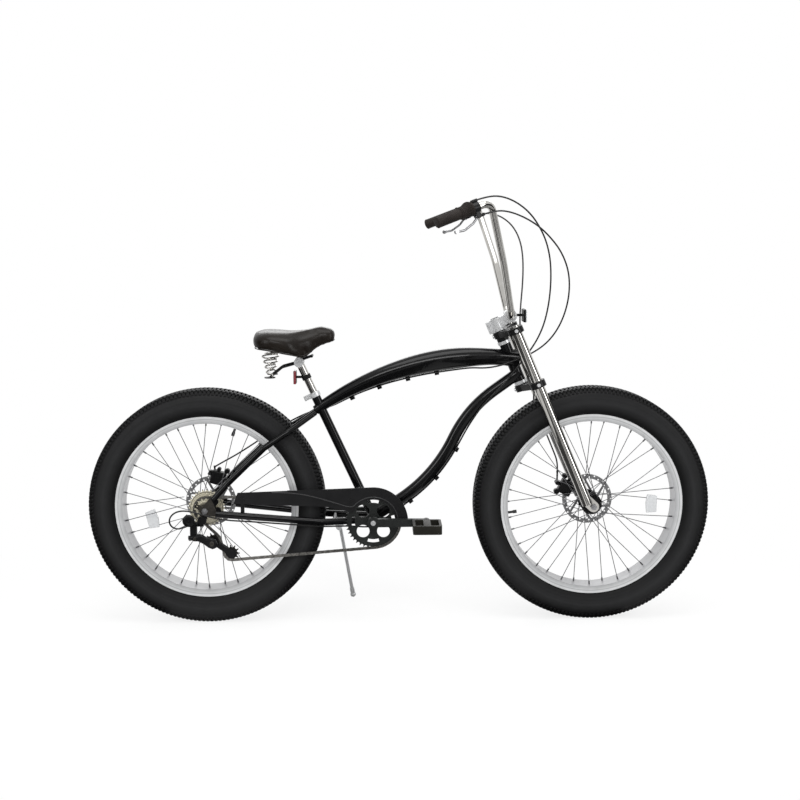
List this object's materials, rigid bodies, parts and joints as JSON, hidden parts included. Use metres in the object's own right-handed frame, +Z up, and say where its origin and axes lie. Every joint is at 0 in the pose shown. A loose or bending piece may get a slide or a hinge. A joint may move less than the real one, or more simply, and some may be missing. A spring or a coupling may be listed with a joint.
{
  "type": "fat tire bike",
  "caption": "Cruiser bicycle with very wide tyres, a curved tube frame, a two-clamp fork, tall pulled-back handlebar, sprung saddle, chain drive with gears and disc brakes.",
  "frame": {"origin": "On the floor, midway between the two axles, on the mid-plane", "axes": "+X forward, +Y to the rider's left, +Z up"},
  "size_m": [1.954, 0.7212, 1.3311],
  "materials": {
    "frame_paint": "gloss black paint",
    "chrome": "polished plating",
    "silver": "satin silver",
    "black_metal": "satin black",
    "guard": "satin dark grey",
    "tyre": "moulded tread rubber",
    "tube_rubber": "smooth rubber",
    "steel": "bright steel",
    "chain_steel": "oiled dark steel",
    "cog_brass": "bronze-toned plating",
    "grip": "dark brown ribbed",
    "saddle": "dark brown stitched",
    "cable": "black housing",
    "pedal": "moulded black",
    "red_lens": "moulded lens",
    "white_lens": "moulded lens"
  },
  "bodies": {
    "frame": {"head_tube": "frame_paint", "top_tube": "frame_paint", "down_tube": "frame_paint", "seat_tube": "frame_paint", "chain_stays": "frame_paint", "seat_stays": "frame_paint", "bearing_cups": "black_metal", "chain_guard": "guard", "kickstand_bracket": "black_metal", "rear_axle": "steel", "seat_clamp": "silver", "rear_caliper": "black_metal", "chain": "chain_steel", "frame_cables": "cable", "derailleur_mount": "black_metal"},
    "fork": {"fork_clamps": "black_metal", "fork_legs": "chrome", "stem": "silver", "handlebar": "chrome", "grips": "grip", "lever_perches": "black_metal", "front_reflector": "white_lens", "front_caliper": "black_metal", "front_axle": "steel", "front_brake_cable": "cable"},
    "front_wheel": {"front_tyre": "tyre", "front_rim": "silver", "front_spokes": "steel", "front_hub": "black_metal", "front_rotor": "steel", "front_inner_tube": "tube_rubber"},
    "rear_wheel": {"rear_tyre": "tyre", "rear_rim": "silver", "rear_spokes": "steel", "rear_hub": "black_metal", "rear_rotor": "steel", "rear_inner_tube": "tube_rubber"},
    "crankset": {"crank_spindle": "steel", "chainring": "black_metal", "crank_arms": "black_metal"},
    "freewheel": {"freewheel": "cog_brass"},
    "right_pedal": {"right_pedal": "pedal"},
    "left_pedal": {"left_pedal": "pedal"},
    "right_brake_lever": {"right_brake_lever": "silver"},
    "left_brake_lever": {"left_brake_lever": "silver"},
    "rear_caliper_arm": {"rear_caliper_arm": "black_metal"},
    "front_caliper_arm": {"front_caliper_arm": "black_metal"},
    "twist_shifter": {"twist_shifter": "grip"},
    "derailleur_outer_link": {"derailleur_outer_link": "black_metal"},
    "derailleur_inner_link": {"derailleur_inner_link": "black_metal"},
    "derailleur_carrier": {"derailleur_carrier": "black_metal"},
    "derailleur_cage": {"derailleur_cage": "black_metal"},
    "guide_pulley": {"guide_pulley": "pedal"},
    "tension_pulley": {"tension_pulley": "pedal"},
    "kickstand_leg": {"kickstand_leg": "silver"},
    "seat_post": {"seat_post": "chrome", "rear_reflector": "red_lens"},
    "saddle_frame": {"saddle_frame": "black_metal", "saddle_springs": "chrome"},
    "saddle_cushion": {"saddle_cushion": "saddle"}
  },
  "joints": [
    {"name": "steering", "type": "hinge", "parent": "frame", "child": "fork", "pos_m": [0.55338, 0, 0.3503], "axis": [-0.3875, 0, 0.9219], "range_deg": [-55, 55], "deforming": ["frame_cables"]},
    {"name": "front_wheel_spin", "type": "hinge", "parent": "fork", "child": "front_wheel", "pos_m": [0.605, 0, 0.372], "axis": [0, 1, 0], "continuous": true},
    {"name": "rear_wheel_spin", "type": "hinge", "parent": "frame", "child": "rear_wheel", "pos_m": [-0.605, 0, 0.372], "axis": [0, 1, 0], "continuous": true},
    {"name": "crank_spin", "type": "hinge", "parent": "frame", "child": "crankset", "pos_m": [-0.084, 0, 0.33], "axis": [0, 1, 0], "continuous": true, "deforming": ["chain"]},
    {"name": "freewheel_spin", "type": "hinge", "parent": "frame", "child": "freewheel", "pos_m": [-0.605, 0, 0.372], "axis": [0, 1, 0], "continuous": true},
    {"name": "right_pedal_spin", "type": "hinge", "parent": "crankset", "child": "right_pedal", "pos_m": [0.081, -0.155, 0.33], "axis": [0, 1, 0], "continuous": true},
    {"name": "left_pedal_spin", "type": "hinge", "parent": "crankset", "child": "left_pedal", "pos_m": [-0.249, 0.155, 0.33], "axis": [0, 1, 0], "continuous": true},
    {"name": "left_lever_pull", "type": "hinge", "parent": "fork", "child": "left_brake_lever", "pos_m": [0.22338, 0.28307, 1.26964], "axis": [0.4511, 0.8853, 0.1128], "range_deg": [0, 14], "stiffness_Nm_per_rad": 0.6},
    {"name": "right_lever_pull", "type": "hinge", "parent": "fork", "child": "right_brake_lever", "pos_m": [0.22338, -0.28307, 1.26964], "axis": [-0.4511, 0.8853, -0.1128], "range_deg": [0, 14], "stiffness_Nm_per_rad": 0.6},
    {"name": "front_caliper_arm_turn", "type": "hinge", "parent": "fork", "child": "front_caliper_arm", "pos_m": [0.53613, 0.0749, 0.40862], "axis": [0, 1, 0], "range_deg": [0, 16.8]},
    {"name": "rear_caliper_arm_turn", "type": "hinge", "parent": "frame", "child": "rear_caliper_arm", "pos_m": [-0.5809, 0.0869, 0.44618], "axis": [0, 1, 0], "range_deg": [0, 16.8]},
    {"name": "shifter_twist", "type": "hinge", "parent": "fork", "child": "twist_shifter", "pos_m": [0.106, -0.345, 1.253], "axis": [0.8293, 0.4625, 0.3136], "range_deg": [-33, 65]},
    {"name": "derailleur_outer_swing", "type": "hinge", "parent": "frame", "child": "derailleur_outer_link", "pos_m": [-0.64, -0.104, 0.336], "axis": [1, 0, 0], "range_deg": [-13.2, 26]},
    {"name": "derailleur_inner_swing", "type": "hinge", "parent": "frame", "child": "derailleur_inner_link", "pos_m": [-0.64, -0.089, 0.328], "axis": [1, 0, 0], "range_deg": [-13.2, 26]},
    {"name": "derailleur_carrier_level", "type": "hinge", "parent": "derailleur_outer_link", "child": "derailleur_carrier", "pos_m": [-0.64, -0.108, 0.292], "axis": [1, 0, 0], "range_deg": [-26, 13.2]},
    {"name": "derailleur_cage_swing", "type": "hinge", "parent": "derailleur_carrier", "child": "derailleur_cage", "pos_m": [-0.584, -0.064, 0.271], "axis": [0, 1, 0], "range_deg": [-20, 25], "stiffness_Nm_per_rad": 1.2},
    {"name": "guide_pulley_spin", "type": "hinge", "parent": "derailleur_cage", "child": "guide_pulley", "pos_m": [-0.584, -0.064, 0.271], "axis": [0, 1, 0], "continuous": true},
    {"name": "tension_pulley_spin", "type": "hinge", "parent": "derailleur_cage", "child": "tension_pulley", "pos_m": [-0.52843, -0.064, 0.2318], "axis": [0, 1, 0], "continuous": true},
    {"name": "kickstand_fold", "type": "hinge", "parent": "frame", "child": "kickstand_leg", "pos_m": [-0.191, 0.04, 0.292], "axis": [0.2964, 0.9029, 0.3113], "range_deg": [0, 90]},
    {"name": "seat_post_slide", "type": "slide", "parent": "frame", "child": "seat_post", "axis": [-0.4187, 0, 0.9081], "range_m": [-0.015, 0.06]},
    {"name": "saddle_tilt", "type": "hinge", "parent": "seat_post", "child": "saddle_frame", "pos_m": [-0.31217, 0, 0.82494], "axis": [0, 1, 0], "range_deg": [-10, 10]},
    {"name": "saddle_sag", "type": "hinge", "parent": "saddle_frame", "child": "saddle_cushion", "pos_m": [-0.272, 0, 0.844], "axis": [0, 1, 0], "range_deg": [-5, 0], "stiffness_Nm_per_rad": 900, "deforming": ["saddle_springs"]}
  ],
  "couplings": [
    {"joint": "freewheel_spin", "follows": "crank_spin", "ratio": 2.3333},
    {"joint": "guide_pulley_spin", "follows": "crank_spin", "ratio": -3.8182},
    {"joint": "tension_pulley_spin", "follows": "crank_spin", "ratio": 3.8182},
    {"joint": "front_caliper_arm_turn", "follows": "left_lever_pull", "ratio": 1.2},
    {"joint": "rear_caliper_arm_turn", "follows": "right_lever_pull", "ratio": 1.2},
    {"joint": "derailleur_outer_swing", "follows": "shifter_twist", "ratio": 0.4},
    {"joint": "derailleur_inner_swing", "follows": "shifter_twist", "ratio": 0.4},
    {"joint": "derailleur_carrier_level", "follows": "shifter_twist", "ratio": -0.4}
  ]
}
